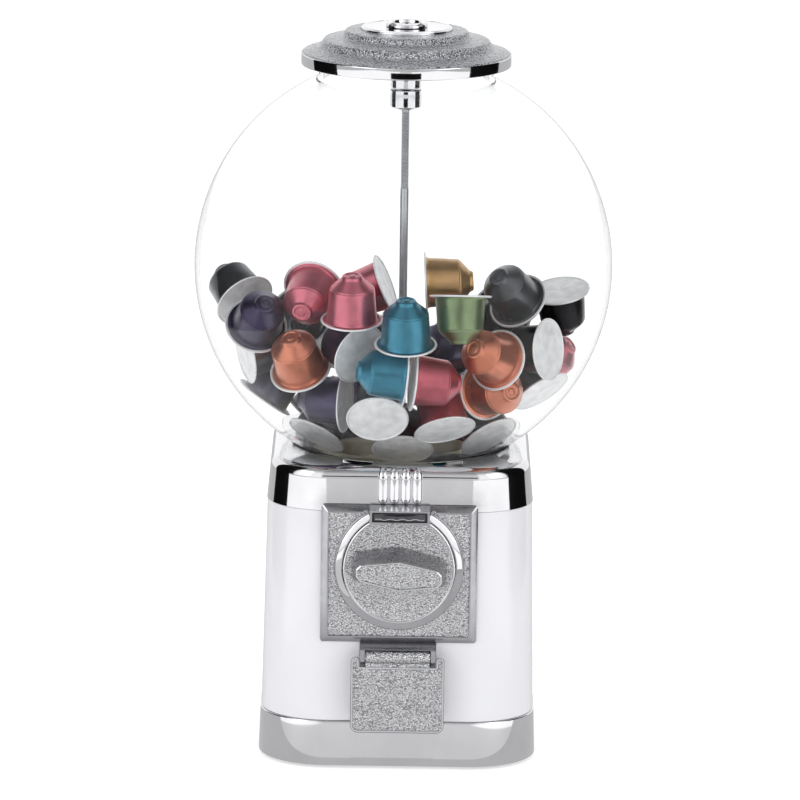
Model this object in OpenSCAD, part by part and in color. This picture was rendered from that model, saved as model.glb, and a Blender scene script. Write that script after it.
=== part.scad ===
// Table-top gumball machine that vends coffee capsules.
// Origin: bottom centre, on the surface it stands on. +Z is up and -Y is the front.

/* [Cabinet] */
// Half width of the base ring at its foot
base_half = 83.5; // [83:0.1:85]
// Height of the seam between the base ring and the white body
base_top = 29; // [28:0.5:30]
// Height of the seam between the body and the chrome collar
body_top = 157.8; // [157:0.2:158.6]
// Height of the collar's flat top
collar_top = 183.8; // [183:0.2:184.4]
// Distance from the axis to each corner's centre, on both axes
corner_c = 42.5; // [42:0.1:43]
// Wall of the base ring, the body and the collar
wall = 2.5; // [2:0.1:3]

/* [Globe and lid] */
// Outer radius of the globe
globe_r = 126; // [125:0.5:127]
// Height of the globe's centre
globe_z = 292; // [291.5:0.5:292.5]
// Wall of the globe
globe_wall = 3; // [2.5:0.5:3]
// Radius of the lid's rim
lid_r = 63; // [61:0.5:65]
// Height of the lower edge of the lid's rim
lid_z = 414.5; // [414:0.5:415]
// Radius of the centre rod
rod_r = 2.55; // [2.5:0.01:2.6]

/* [Coin mechanism] */
// Height of the knob's axis
knob_z = 125; // [124.5:0.5:125.5]
// Radius of the knob's disc
knob_r = 33.4; // [32:0.1:33.8]
// Half width of the coin plate
plate_half = 46.6; // [45:0.1:48]
// Number of teeth on the drive gear
gear_teeth = 10; // [10:1:10]
// Number of pockets in the product wheel
pockets = 4; // [4:1:4]

/* [Chute] */
// Half width of the flap
flap_half = 28; // [26:0.5:30]
// Height of the flap's hinge axis
flap_z = 70.3; // [70:0.1:70.5]

/* [Capsules] */
// Radius of a capsule's flange
flange_r = 18.5; // [18:0.1:18.5]

/* [Hidden] */
$fn = 96;

gap = 0.05;                         // radial running clearance
body_low_half = 82;                 // body half width at its lower edge
body_top_half = 79.6;               // body half width at its upper edge
collar_half = 79.9;                 // collar half width at its lower edge
shoulder_half = 78.2;               // collar half width where its shoulder starts to round
shoulder_r = 7;
floor_z = 133;                      // underside of the floor plate
floor_t = 3.5;
neck_r = 62;                        // globe's lower neck, outside
neck_z = 177.5;                     // lower end of that neck
mouth_r = 52.5;                     // globe's upper mouth, outside
mouth_z = 420.8;                    // upper end of the mouth
neck_top = 188;                     // where the globe's neck length ends
dome_top = 398;                     // where its crown length starts
mouth_low = globe_z + sqrt(pow(globe_r, 2) - pow(mouth_r - 0.5, 2));
plate_z0 = 78;
plate_z1 = 162;
plate_back = -81.2;
plate_field = -84.4;
plate_front = -85.6;
knob_back = -85.2;
knob_face = -91;
grip_face = -111;
slot_z = 159;                       // lower edge of the coin slot
slot_h = 2;
pitch_r = 15.25;                    // pitch radius of the drive gear
crown_r = 61;                       // mean radius of the wheel's crown teeth
crown_teeth = gear_teeth * pockets;
gear_y0 = -65.5;
gear_w = 8;
wheel_r = 66;
wheel_z0 = knob_z + pitch_r + 2.9;  // underside of the wheel's drum
wheel_z1 = 173;
pocket_r = 20;
pocket_c = 34;
outlet_a = -35;                     // where the outlet hole lies, from +X
outlet = [pocket_c * cos(outlet_a), pocket_c * sin(outlet_a)];
tube_r = 67.5;                      // inside of the hopper ring's tube
flap_y = -88.5;                     // hinge axis of the flap
flap_bottom = 24.8;
flap_top = 71.1;                    // top of the flap's shoulders
barrel_half = 19.3;                 // half length of the flap's hinge barrel
hood_half = 22.6;                   // half width of the chute housing
mouth_half = 20;                    // half width of the way out of the chute
lock_r = 9.6;
screw_r = 1.5;
pin_r = 1.5;                        // radius of the flap's pin
shaft_r = 5;                        // radius of the knob's shaft

// ---------- shapes that repeat ----------

// A 2D square of the given half width with rounded corners.
module rounded_square(half, corner) {
    square([2 * half, 2 * (half - corner)], center = true);
    square([2 * (half - corner), 2 * half], center = true);
    for (x = [-1, 1], y = [-1, 1])
        translate([x, y] * (half - corner)) circle(corner);
}

// Sweeps a 2D outline (distance from the corner centres, height) round the whole cabinet.
module cabinet_sweep() {
    for (a = [0:90:270])
        rotate(a) {
            translate([corner_c, corner_c, 0]) rotate_extrude(angle = 90) children();
            translate([corner_c, corner_c, 0]) rotate([90, 0, 0]) linear_extrude(2 * corner_c) children();
        }
}

// A flat plate with the cabinet's rounded corners.
module cabinet_plate(half, z, h) {
    translate([0, 0, z]) linear_extrude(h) rounded_square(half, half - corner_c);
}

// A ring or tube about Z.
module ring(r_in, r_out, z, h) {
    translate([0, 0, z]) difference() {
        cylinder(r = r_out, h = h);
        translate([0, 0, -1]) cylinder(r = r_in, h = h + 2);
    }
}

// Lays its children's Z axis along +Y, at the given place.
module along_y(x, y, z) {
    translate([x, y, z]) rotate([-90, 0, 0]) children();
}

// A screw along Z, with its head at the bottom.
module screw_up(r, shank, head_r, head_h) {
    cylinder(r = head_r, h = head_h);
    cylinder(r = r, h = head_h + shank);
}

// A hexagonal nut with a round bore.
module hex_nut(across, h, bore) {
    difference() {
        cylinder(r = across / sqrt(3), h = h, $fn = 6);
        translate([0, 0, -1]) cylinder(r = bore, h = h + 2);
    }
}

function body_half(z) =
    body_low_half + (body_top_half - body_low_half) * (z - base_top) / (body_top - base_top);

// ---------- cabinet ----------

boss_at = 62;
module at_corners(d) {
    for (x = [-1, 1], y = [-1, 1]) translate([x * d, y * d, 0]) children();
}

module base_ring() color("gainsboro") {
    r0 = base_half - corner_c;
    r1 = r0 - 0.9;
    difference() {
        union() {
            cabinet_sweep() polygon([[r0, 1.5], [r1, base_top], [r1 - 3.4, base_top],
                [r1 - 3.4, base_top + 4], [r1 - 5.4, base_top + 4], [r1 - 5.4, base_top - 4],
                [r1 - wall, base_top - 7], [r0 - wall, 1.5]]);
            at_corners(boss_at) translate([0, 0, 9.1]) cylinder(r = 4, h = 14);
            for (a = [45:90:315]) rotate(a)
                translate([boss_at * sqrt(2) + 3, -1.5, 9.1]) cube([8, 3, 14]);
        }
        at_corners(boss_at) translate([0, 0, 9]) cylinder(r = screw_r, h = 10);
        translate([-hood_half - 1, -base_half - 1, base_top - 1.5]) cube([2 * hood_half + 2, 12, 12]);
    }
}

module base_plate() color("dimgray")
    difference() {
        cabinet_plate(80.6, 7, 2);
        translate([0, 0, 6]) cylinder(r = rod_r, h = 4);
        at_corners(boss_at) translate([0, 0, 6]) cylinder(r = screw_r, h = 4);
    }

module rubber_feet() color("black")
    at_corners(50) {
        cylinder(r1 = 8, r2 = 9, h = 5);
        translate([0, 0, 5]) cylinder(r = 9, h = 2);
    }

module base_screws() color("silver")
    at_corners(boss_at) translate([0, 0, 5]) screw_up(screw_r, 12, 3, 2);

module body_shell() color("white")
    difference() {
        union() {
            cabinet_sweep() polygon([[body_low_half - corner_c, base_top],
                [body_top_half - corner_c, body_top], [body_top_half - corner_c - wall, body_top],
                [body_low_half - corner_c - wall, base_top]]);
            for (a = [45:90:315]) rotate(a)
                translate([88, -8, floor_z - 10]) cube([body_half(floor_z) - corner_c - wall
                    + corner_c * sqrt(2) - 87, 16, 10]);
        }
        translate([-36, -100, 86]) cube([72, 40, 80]);
        translate([-hood_half - 0.3, -100, base_top - 1]) cube([2 * hood_half + 0.6, 40, 50.2]);
        for (a = [45:90:315]) rotate(a)
            translate([92, 0, floor_z - 8.4]) cylinder(r = screw_r, h = 20);
    }

// The collar's outer outline, grown inwards by d.
module collar_outline(d) {
    r0 = collar_half - corner_c - d;
    r1 = shoulder_half - corner_c - d;
    z1 = collar_top - shoulder_r;
    polygon([[0, body_top], [r0, body_top], [r1, z1], [0, z1]]);
    translate([r1 - shoulder_r + d, z1]) circle(shoulder_r - d);
    translate([0, body_top]) square([r1 - shoulder_r + d, collar_top - d - body_top]);
}

module collar_solid(d) {
    cabinet_sweep() intersection() {
        collar_outline(d);
        translate([0, body_top]) square([60, 60]);
    }
    translate([-corner_c, -corner_c, body_top])
        cube([2 * corner_c, 2 * corner_c, collar_top - d - body_top]);
}

flute_r = 3.1;
module top_collar() color("gainsboro")
    difference() {
        union() {
            collar_solid(0);
            for (i = [-1.5:1:1.5]) intersection() {
                translate([i * 6.8, 4 - collar_half, 163]) {
                    translate([0, -2.4, 0]) cylinder(r = flute_r, h = collar_top - 162);
                    translate([-flute_r, -2.4, 0]) cube([2 * flute_r, 6, collar_top - 162]);
                }
                translate([-20, -90, 150]) cube([40, 30, 60]);
            }
        }
        difference() {
            collar_solid(wall);
            for (x = [-1, 1]) translate([x * 45 - 3, -79, 150]) cube([6, 8, 40]);
        }
        translate([0, 0, collar_top - 8]) cylinder(r = 66, h = 12);
        translate([-36, -100, body_top - 1]) cube([72, 40, slot_z + slot_h + 0.9 - body_top + 1]);
    }

// ---------- globe, lid and rod ----------

module globe_profile() {
    inner = globe_r - globe_wall;
    difference() {
        translate([0, globe_z]) circle(globe_r, $fn = 180);
        translate([0, globe_z]) circle(inner, $fn = 180);
        translate([-globe_r - 1, 0]) square([globe_r + 1, 600]);
        square([neck_r - globe_wall, globe_z]);
        translate([0, globe_z]) square([mouth_r - globe_wall, 200]);
    }
    translate([neck_r - globe_wall, neck_z])
        square([globe_wall, globe_z - sqrt(pow(globe_r, 2) - pow(neck_r - 0.5, 2)) - neck_z]);
    translate([mouth_r - globe_wall, mouth_low]) square([globe_wall, mouth_z - mouth_low]);
}

// The globe is drawn in five lengths that meet face to face, each a plain ring or bowl.
module globe_length(from, to)
    rotate_extrude() intersection() {
        globe_profile();
        translate([0, from]) square([globe_r + 1, to - from]);
    }

module globe_neck() color("white", 0.3) globe_length(neck_z, neck_top);
module globe() color("white", 0.3) globe_length(neck_top, globe_z);
module globe_dome() color("white", 0.3) globe_length(globe_z, dome_top);
module globe_crown() color("white", 0.3) globe_length(dome_top, mouth_low);
module globe_mouth() color("white", 0.3) globe_length(mouth_low, mouth_z);

module globe_gasket() color("black") {
    ring(57.5, 65.5, 176, 1.5);
    ring(neck_r + 0.2, 65.5, 177.5, 4.3);
}

module centre_rod() color("silver")
    translate([0, 0, 2]) cylinder(r = rod_r, h = 402);

module rod_nut() color("silver")
    translate([0, 0, 2.6]) hex_nut(8, 3.4, rod_r);

module rod_washer() color("silver")
    ring(rod_r, 5.5, 6, 1);

module barrel_nut() color("gainsboro")
    ring(rod_r, lock_r, 388, 11);

disc_r = 27.5;
module lid() color("silver")
    rotate_extrude() polygon([[lid_r - 1.8, lid_z], [lid_r, lid_z], [lid_r, lid_z + 6.8],
        [lid_r - 1.2, lid_z + 7.9], [52.5, 425.2], [49.5, 429.8], [39, 431.4], [36.5, 435.4],
        [disc_r, 436], [disc_r, 434.5], [lock_r, 434.5], [lock_r, 431.5], [35, 431.5],
        [37, 428], [47.5, 426], [49.5, 422], [54, 420.6], [lid_r - 1.8, 420]]);

module lid_disc() color("gainsboro")
    rotate_extrude() polygon([[lock_r, 434.5], [disc_r, 434.5], [disc_r, 437.2],
        [disc_r - 0.8, 437.9], [lock_r, 437.9]]);

bezel_r = 12.6;
plug_r = 6.2;
module lock_body() color("gainsboro")
    difference() {
        union() {
            translate([0, 0, 399.6]) cylinder(r = lock_r, h = 40.4);
            rotate_extrude() polygon([[0, 437.9], [bezel_r, 437.9], [bezel_r, 439.6],
                [bezel_r - 0.9, 440.3], [0, 440.3]]);
        }
        translate([0, 0, 399]) cylinder(r = 3.4, h = 8);
        translate([0, 0, 406.5]) cylinder(r = 7, h = 5);
        translate([0, 0, 411]) cylinder(r = plug_r + gap, h = 40);
        translate([0, 0, 438.6]) cylinder(r = 8.2, h = 4);
    }

module lock_cylinder() color("silver")
    difference() {
        translate([0, 0, 409]) cylinder(r = plug_r, h = 30.2);
        translate([-0.6, -3.5, 425]) cube([1.2, 7, 20]);
    }

module lock_cam() color("dimgray")
    translate([0, 0, 407]) intersection() {
        cylinder(r = 6.5, h = 2);
        translate([-3, -7, 0]) cube([6, 14, 2]);
    }

// ---------- product wheel ----------

// The 2D outline of a straight-sided tooth, wider at its foot.
module tooth_outline(foot, tip, height) {
    polygon([[-foot / 2, 0], [foot / 2, 0], [tip / 2, height], [-tip / 2, height]]);
}

crown_depth = 5.3;
module product_wheel() color("ivory") {
    difference() {
        translate([0, 0, wheel_z0]) cylinder(r = wheel_r, h = wheel_z1 - wheel_z0);
        for (i = [0:pockets - 1])
            rotate(outlet_a + i * 360 / pockets)
                translate([pocket_c, 0, 100]) cylinder(r = pocket_r, h = 100);
        translate([0, 0, 100]) cylinder(r = 7, h = 100);
    }
    for (i = [0:crown_teeth - 1])
        rotate((i + 0.5) * 360 / crown_teeth)
            translate([0, crown_r - gear_w / 2 + 0.5, wheel_z0]) rotate([-90, 0, 0])
                linear_extrude(gear_w - 1) tooth_outline(5.2, 2.5, crown_depth);
}

module wheel_bushing() color("tan")
    ring(rod_r + gap, 7, floor_z + floor_t, wheel_z1 - floor_z - floor_t);

module floor_plate() color("silver")
    difference() {
        cabinet_plate(76.2, floor_z, floor_t);
        translate([0, 0, floor_z - 1]) cylinder(r = rod_r, h = 9);
        translate([outlet[0], outlet[1], floor_z - 1]) cylinder(r = 21, h = 9);
        translate([-20, -67, floor_z - 1]) cube([40, 16, 9]);
        translate([-38, -100, floor_z - 1]) cube([76, 28.9, 9]);
        for (a = [45:90:315]) rotate(a) translate([92, 0, floor_z - 1]) cylinder(r = screw_r, h = 9);
        for (a = [30, 150, 210, 330]) rotate(a)
            translate([72, 0, floor_z - 1]) cylinder(r = screw_r, h = 9);
    }

module floor_screws() color("silver")
    for (a = [45:90:315]) rotate(a)
        translate([92, 0, floor_z + floor_t + 2]) rotate([180, 0, 0]) screw_up(screw_r, 11, 3, 2);

module hopper_ring() color("silver") {
    ring(tube_r, 70, floor_z + floor_t, 173.2 - floor_z - floor_t);
    ring(57, 70, 173.2, 2.8);
}

module outlet_cover() color("silver")
    difference() {
        translate([0, 0, 174]) intersection() {
            cylinder(r = 57, h = 1.5);
            rotate(outlet_a) linear_extrude(3) polygon([[0, 0], [80, -48], [80, 48]]);
        }
        translate([0, 0, 170]) cylinder(r = 9, h = 9);
    }

module outlet_brush() color("black")
    for (s = [-1, 1], i = [0:9])
        rotate(outlet_a + s * 29) translate([14 + i * 4.2, -s * 1.2, 173.3]) cylinder(r = 1, h = 0.7);

// ---------- chute ----------

// The chute seen from above, grown inwards by d.
module chute_plan(d) {
    polygon([[4.2 + d, 3 - d], [52.5 - d, 3 - d], [52.5 - d, -42.5 - d / 2], [mouth_half + 2 - d, -79],
        [mouth_half + 2 - d, -92], [-mouth_half - 2 + d, -92], [-mouth_half - 2 + d, -62 - d],
        [4.2 + d, -41 - d]]);
}

// The chute seen from the side, grown inwards by d.
module chute_side(d) {
    polygon([[3 - d, floor_z + 5 * d], [3 - d, 62 + d], [-82, 29 + d], [-82, 68 - d],
        [-60, 78 - d], [-42.5 + d, 94], [-42.5 + d, floor_z + 5 * d]]);
}

module chute_solid(d) {
    intersection() {
        translate([0, 0, 20]) linear_extrude(130) chute_plan(d);
        translate([-60, 0, 0]) rotate([90, 0, 90]) linear_extrude(120) chute_side(d);
    }
}

module chute() color("gray")
    difference() {
        intersection() {
            chute_solid(0);
            translate([-60, -79, 0]) cube([120, 100, floor_z]);
        }
        chute_solid(1.5);
        translate([-mouth_half - 0.5, -90, 30.5]) cube([2 * mouth_half + 1, 12, 36]);
    }

// The chrome hood that frames the way out, with two ears for the flap's pin.
module chute_housing() color("gainsboro")
    difference() {
        union() {
            translate([-hood_half, -89.8, base_top - 1.4]) cube([2 * hood_half, 10.7, 36]);
            translate([-hood_half, 0, 0]) rotate([90, 0, 90]) linear_extrude(2 * hood_half)
                polygon([[-79.1, 77.9], [-84, 77.9], [-90.4, 76], [-91.4, 75], [-91.4, 68], [-89.8, 65.8],
                    [-89.8, 60], [-79.1, 60]]);
        }
        translate([-mouth_half, -100, 29.5]) cube([2 * mouth_half, 40, 33]);
        translate([-barrel_half - 0.4, -100, 62.4]) cube([2 * barrel_half + 0.8, 16.4, 12.7]);
        translate([-40, flap_y, flap_z]) rotate([0, 90, 0]) cylinder(r = pin_r, h = 80);
    }

module flap_pin() color("silver")
    translate([-hood_half - 0.6, flap_y, flap_z]) rotate([0, 90, 0])
        cylinder(r = pin_r, h = 2 * hood_half + 1.2);

flap_corner = 4.5;
flap_back = -90.5;
flap_front = -92.3;
barrel_r = 4.6;
module chute_flap() color("silver")
    difference() {
        union() {
            translate([-barrel_half, flap_y, flap_z]) rotate([0, 90, 0])
                cylinder(r = barrel_r, h = 2 * barrel_half);
            translate([-barrel_half, flap_front, flap_z - 6.3])
                cube([2 * barrel_half, flap_y - flap_front, 5]);
            translate([0, flap_back, (flap_bottom + flap_top) / 2]) rotate([90, 0, 0])
                linear_extrude(flap_back - flap_front) {
                    w = flap_half - flap_corner;
                    h = (flap_top - flap_bottom) / 2;
                    difference() {
                        union() {
                            square([2 * flap_half, 2 * (h - flap_corner)], center = true);
                            square([2 * w, 2 * h], center = true);
                            for (x = [-1, 1], y = [-1, 1])
                                translate([x * w, y * (h - flap_corner)]) circle(flap_corner);
                        }
                        translate([-hood_half - 0.4, h - 5.8]) square([2 * hood_half + 0.8, 10]);
                    }
                }
        }
        translate([-40, flap_y, flap_z]) rotate([0, 90, 0]) cylinder(r = pin_r + gap, h = 80);
    }

// ---------- coin mechanism ----------

module coin_plate() color("silver")
    difference() {
        union() {
            translate([0, plate_back, (plate_z0 + plate_z1) / 2]) rotate([90, 0, 0])
                linear_extrude(plate_back - plate_field)
                    square([2 * plate_half, plate_z1 - plate_z0], center = true);
            translate([0, plate_field + 0.01, (plate_z0 + plate_z1) / 2]) rotate([90, 0, 0])
                linear_extrude(plate_field - plate_front) difference() {
                    square([2 * plate_half - 2, plate_z1 - plate_z0 - 2], center = true);
                    square([2 * plate_half - 12, plate_z1 - plate_z0 - 12], center = true);
                }
        }
        along_y(0, -100, knob_z) cylinder(r = shaft_r + gap, h = 40);
        along_y(0, -100, knob_z) cylinder(r = ring_out + 0.8, h = 100 + plate_field);
        translate([-block_half, -100, block_z]) cube([2 * block_half, 100 + plate_field, 20]);
        translate([-13, -100, slot_z]) cube([26, 40, slot_h]);
        for (x = [-1, 1], z = [-1, 1])
            along_y(x * screw_x, plate_back - 2, knob_z + z * screw_dz) cylinder(r = screw_r, h = 4);
    }

ring_out = 38;
ring_front = -91.4;
module coin_ring() color("gainsboro")
    translate([0, plate_field, knob_z]) rotate([90, 0, 0])
        difference() {
            union() {
                linear_extrude(0.8) circle(ring_out + 0.8);
                rotate_extrude(angle = 212)
                    translate([knob_r + 0.4, 0]) square([ring_out - knob_r - 0.4, plate_field - ring_front]);
            }
            translate([0, 0, -1]) cylinder(r = knob_r + 0.4, h = 20);
            translate([-18.2, 20, -1]) cube([36.4, 30, 20]);
        }

block_half = 17.9;
block_z = 153.4;                    // lower edge of the coin slot block
module slot_block() color("gainsboro")
    difference() {
        translate([-block_half, -98, block_z]) cube([2 * block_half, 98 + plate_field, 8.5]);
        along_y(0, -92.2, knob_z) cylinder(r = knob_r + 0.4, h = 20);
        along_y(0, -100, knob_z) cylinder(r = grip_reach, h = 20);
        translate([-13, -100, slot_z]) cube([26, 40, slot_h]);
    }

shaft_front = -97;
// The grip: a long hexagon seen from the front, and a wedge seen from the side.
grip_tilt = 4;
grip_reach = 29.8;                  // how far the grip reaches from the knob's axis, with clearance
module grip() {
    rotate([0, grip_tilt, 0]) intersection() {
        rotate([90, 0, 0]) linear_extrude(130)
            polygon([[-28, -8.5], [-28, 8.5], [-25, 11], [0, 14], [25, 11], [28, 8.5], [28, -8.5], [25, -11],
                [0, -14], [-25, -11]]);
        rotate([90, 0, 90]) translate([0, 0, -30]) linear_extrude(60)
            polygon([[0, -14], [0, 14], [knob_face, 14], [grip_face, 9.2], [grip_face, -9.2],
                [knob_face, -14]]);
        translate([0, 0, -30]) linear_extrude(60)
            polygon([[-28.5, 0], [28.5, 0], [28.5, knob_face], [25.6, grip_face], [-25.6, grip_face],
                [-28.5, knob_face]]);
    }
}

module knob() color("silver")
    difference() {
        union() {
            along_y(0, knob_face, knob_z) cylinder(r = knob_r, h = knob_back - knob_face);
            translate([0, 0, knob_z]) difference() {
                grip();
                translate([-40, knob_face + 0.01, -40]) cube([80, 100, 80]);
            }
        }
        along_y(0, shaft_front, knob_z) cylinder(r = shaft_r, h = 40);
    }

shaft_back = -50.5;
module knob_shaft() color("silver")
    along_y(0, shaft_front, knob_z) cylinder(r = shaft_r, h = shaft_back - shaft_front);

module coin_carrier() color("goldenrod")
    difference() {
        along_y(0, -80.9, knob_z) cylinder(r = 30, h = 3.6);
        along_y(0, -90, knob_z) cylinder(r = shaft_r, h = 20);
        translate([-12.8, -90, knob_z + 26.6]) cube([25.6, 20, 10]);
    }

ratchet_teeth = 20;
ratchet_r = 28;
module ratchet_wheel() color("silver")
    translate([0, -77.1, knob_z]) rotate([-90, 0, 0]) difference() {
        step = 360 / ratchet_teeth;
        linear_extrude(2) polygon([for (i = [0:ratchet_teeth - 1], end = [0, 1])
            (ratchet_r - 2.4 * end) * [cos((i + end) * step), sin((i + end) * step)]]);
        translate([0, 0, -1]) cylinder(r = shaft_r, h = 5);
    }

screw_x = 31;                       // where the mechanism's screws are, from the knob's axis
screw_dz = 33;
pawl_x = 27;
pawl_z = 97;
module pawl() color("goldenrod")
    difference() {
        translate([pawl_x, -75.1, pawl_z]) rotate([90, 0, 0]) linear_extrude(2) {
            circle(4);
            translate([-17, -1.2]) square([17, 2.4]);
            polygon([[-17, 0], [-13, 0], [-16, 1.7], [-17, 1.7]]);
        }
        along_y(pawl_x, -90, pawl_z) cylinder(r = 2 + gap, h = 20);
    }

module pawl_pin() color("silver")
    along_y(pawl_x, -79, pawl_z) cylinder(r = 2, h = 4.4);

module pawl_spring() color("silver")
    along_y(pawl_x, -78.9, pawl_z) ring(2.3, 3.3, 0, 1.5);

module mech_housing() color("silver")
    difference() {
        translate([-35, -81.15, 88]) cube([70, 9.45, 73.6]);
        along_y(0, -90, knob_z) cylinder(r = 31.5, h = 15.4);
        along_y(0, -90, knob_z) cylinder(r = shaft_r + gap, h = 40);
        translate([-13, -90, slot_z - 6]) cube([26, 30, slot_h + 6]);
        translate([-16, -90, 80]) cube([32, 15.4, 16]);
        translate([8, -90, 91]) cube([24, 15.4, 14]);
        along_y(pawl_x, -76, pawl_z) cylinder(r = 2, h = 1.4);
        for (x = [-1, 1], z = [-1, 1])
            along_y(x * screw_x, -90, knob_z + z * screw_dz) cylinder(r = screw_r, h = 40);
    }

module mech_screws() color("silver")
    for (x = [-1, 1], z = [-1, 1])
        translate([x * screw_x, -69.7, knob_z + z * screw_dz]) rotate([90, 0, 0])
            screw_up(screw_r, plate_back + 83.2 + 9.4, 3, 2);

module drive_gear() color("white")
    translate([0, gear_y0, knob_z]) difference() {
        union() {
            along_y(0, 0, 0) cylinder(r = pitch_r - 2.6, h = gear_w);
            for (i = [0:gear_teeth - 1]) rotate([0, i * 360 / gear_teeth, 0])
                translate([0, gear_w, pitch_r - 3.2]) rotate([90, 0, 0])
                    linear_extrude(gear_w) tooth_outline(5, 2.2, 5.3);
        }
        along_y(0, -1, 0) cylinder(r = shaft_r, h = gear_w + 2);
        translate([-30, gear_w / 2, 0]) rotate([0, 90, 0]) cylinder(r = 1, h = 60);
    }

module gear_pin() color("silver")
    translate([0, gear_y0 + gear_w / 2, knob_z]) difference() {
        translate([-11, 0, 0]) rotate([0, 90, 0]) cylinder(r = 1, h = 22);
        along_y(0, -20, 0) cylinder(r = shaft_r, h = 40);
    }

module shaft_nut() color("silver")
    translate([0, gear_y0 + gear_w, knob_z]) rotate([-90, 0, 0]) hex_nut(14, 5, shaft_r);

// ---------- capsules ----------

// The capsules near the front of the globe, one a line: colour, centre of the flange,
// lean of the axis from upright, and the way that it leans, from +X towards +Y.
FRONT_CAPSULES = [
    ["pink", [-30, -79, 273], 10, -90],
    ["blue", [2, -95, 262], 12, -90],
    ["pink", [-53, -48, 287], 112, -105],
    ["orange", [-60, -58, 239], 38, -111],
    ["orange", [57, -67, 248], 67, -124],
    ["orange", [50, -46, 226], 82, -58],
    ["green", [34, -83, 290], 168, -90],
    ["grey", [69, -38, 278], 50, -126],
    ["black", [94, -10, 280], 163, 60],
    ["black", [87, -61, 254], 96, 150],
    ["grey", [-94, -33, 275], 60, 126],
    ["grey", [-94, -37, 244], 80, 20],
    ["purple", [-87, -47, 263], 52, -75],
    ["purple", [-25, -75, 252], 75, 130],
    ["purple", [-33, -54, 219], 90, 165],
    ["blue", [2, -91, 243], 84, 186],
    ["red", [6, -88, 240], 96, 6],
    ["red", [26, -71, 206], 36, 110],
    ["grey", [-14, -80, 214], 55, 90],
    ["grey", [1, -50, 189], 38, 90],
    ["grey", [-51, -32, 193], 40, 48],
    ["black", [53, -38, 195], 45, 130],
    ["gold", [13, -45, 290], 87, 0],
    ["pink", [-10, -45, 289], 112, 172],
    ["red", [81, 5, 227], 50, -20],
    ["purple", [-83, -16, 212], 35, 10],
    ["grey", [84, -33, 222], 45, 135]
];

COLOURS = ["pink", "blue", "purple", "grey", "orange", "green", "black", "red", "gold"];
capsule_mid = 11;                   // from the flange to the middle of the capsule's own sphere

// The way a capsule's axis points.
function axis_of(lean, turn) = [sin(lean) * cos(turn), sin(lean) * sin(turn), cos(lean)];

// A ring of count capsules whose middles lie at radius r and height z, each at its own lean.
function capsule_ring(r, z, from, step, count, first, seed) = [
    for (i = [0:count - 1])
        let (a = from + i * step, lean = (seed + i * 67) % 180, turn = (i * 101 + seed * 3) % 360)
            [COLOURS[(i + first) % len(COLOURS)],
                [r * cos(a), r * sin(a), z] - capsule_mid * axis_of(lean, turn), lean, turn]
];

BACK_CAPSULES = concat(
    capsule_ring(50, 204, 10, 53, 4, 0, 20),
    capsule_ring(83, 234, 30, 30.5, 5, 3, 60),
    capsule_ring(27, 240, 20, 120, 3, 2, 80),
    capsule_ring(60, 262, -4, 1, 1, 6, 90),
    capsule_ring(62, 258, 182, 1, 1, 3, 90));

module capsule() {
    rotate_extrude($fn = 48) polygon([[0, 0], [flange_r, 0], [flange_r, 0.8], [15, 1.4], [13, 21.5],
        [6.2, 27], [5, 29], [0, 29]]);
}

module capsules(colour) {
    for (c = concat(FRONT_CAPSULES, BACK_CAPSULES))
        if (c[0] == colour) translate(c[1]) rotate([0, c[2], c[3]]) capsule();
}

module capsules_pink() color("palevioletred") capsules("pink");
module capsules_blue() color("teal") capsules("blue");
module capsules_purple() color("darkslateblue") capsules("purple");
module capsules_grey() color("dimgray") capsules("grey");
module capsules_orange() color("darkorange") capsules("orange");
module capsules_green() color("olivedrab") capsules("green");
module capsules_black() color("black") capsules("black");
module capsules_red() color("firebrick") capsules("red");
module capsules_gold() color("peru") capsules("gold");

base_ring();
base_plate();
rubber_feet();
base_screws();
body_shell();
top_collar();
globe();
globe_neck();
globe_dome();
globe_crown();
globe_mouth();
globe_gasket();
hopper_ring();
product_wheel();
wheel_bushing();
floor_plate();
floor_screws();
outlet_cover();
outlet_brush();
chute();
chute_housing();
chute_flap();
flap_pin();
coin_plate();
coin_ring();
slot_block();
knob();
knob_shaft();
coin_carrier();
ratchet_wheel();
pawl();
pawl_pin();
pawl_spring();
mech_housing();
mech_screws();
drive_gear();
gear_pin();
shaft_nut();
centre_rod();
rod_nut();
rod_washer();
barrel_nut();
lid();
lid_disc();
lock_body();
lock_cylinder();
lock_cam();
capsules_pink();
capsules_blue();
capsules_purple();
capsules_grey();
capsules_orange();
capsules_green();
capsules_black();
capsules_red();
capsules_gold();
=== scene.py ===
import math

import bmesh
import bpy
from mathutils import Matrix, Vector


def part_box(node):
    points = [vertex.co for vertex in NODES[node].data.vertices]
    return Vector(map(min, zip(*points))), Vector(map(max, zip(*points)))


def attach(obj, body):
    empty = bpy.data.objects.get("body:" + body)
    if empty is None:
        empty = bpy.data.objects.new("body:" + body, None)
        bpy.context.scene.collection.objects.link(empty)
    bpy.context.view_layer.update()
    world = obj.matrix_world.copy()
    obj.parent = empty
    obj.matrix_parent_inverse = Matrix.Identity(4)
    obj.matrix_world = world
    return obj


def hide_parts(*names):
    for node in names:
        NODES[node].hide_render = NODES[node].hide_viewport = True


# Lengths below are in millimetres, and become metres as each mesh is made.
MM = 0.001

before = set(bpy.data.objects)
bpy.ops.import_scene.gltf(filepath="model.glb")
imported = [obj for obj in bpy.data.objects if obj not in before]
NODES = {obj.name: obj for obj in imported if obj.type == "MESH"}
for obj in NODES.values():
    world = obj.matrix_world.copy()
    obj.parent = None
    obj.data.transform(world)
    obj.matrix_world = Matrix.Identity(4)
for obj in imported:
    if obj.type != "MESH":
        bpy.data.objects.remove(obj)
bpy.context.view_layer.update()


# ---------- places taken from the frame ----------

def low(node):
    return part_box(node)[0] / MM


def high(node):
    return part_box(node)[1] / MM


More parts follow.
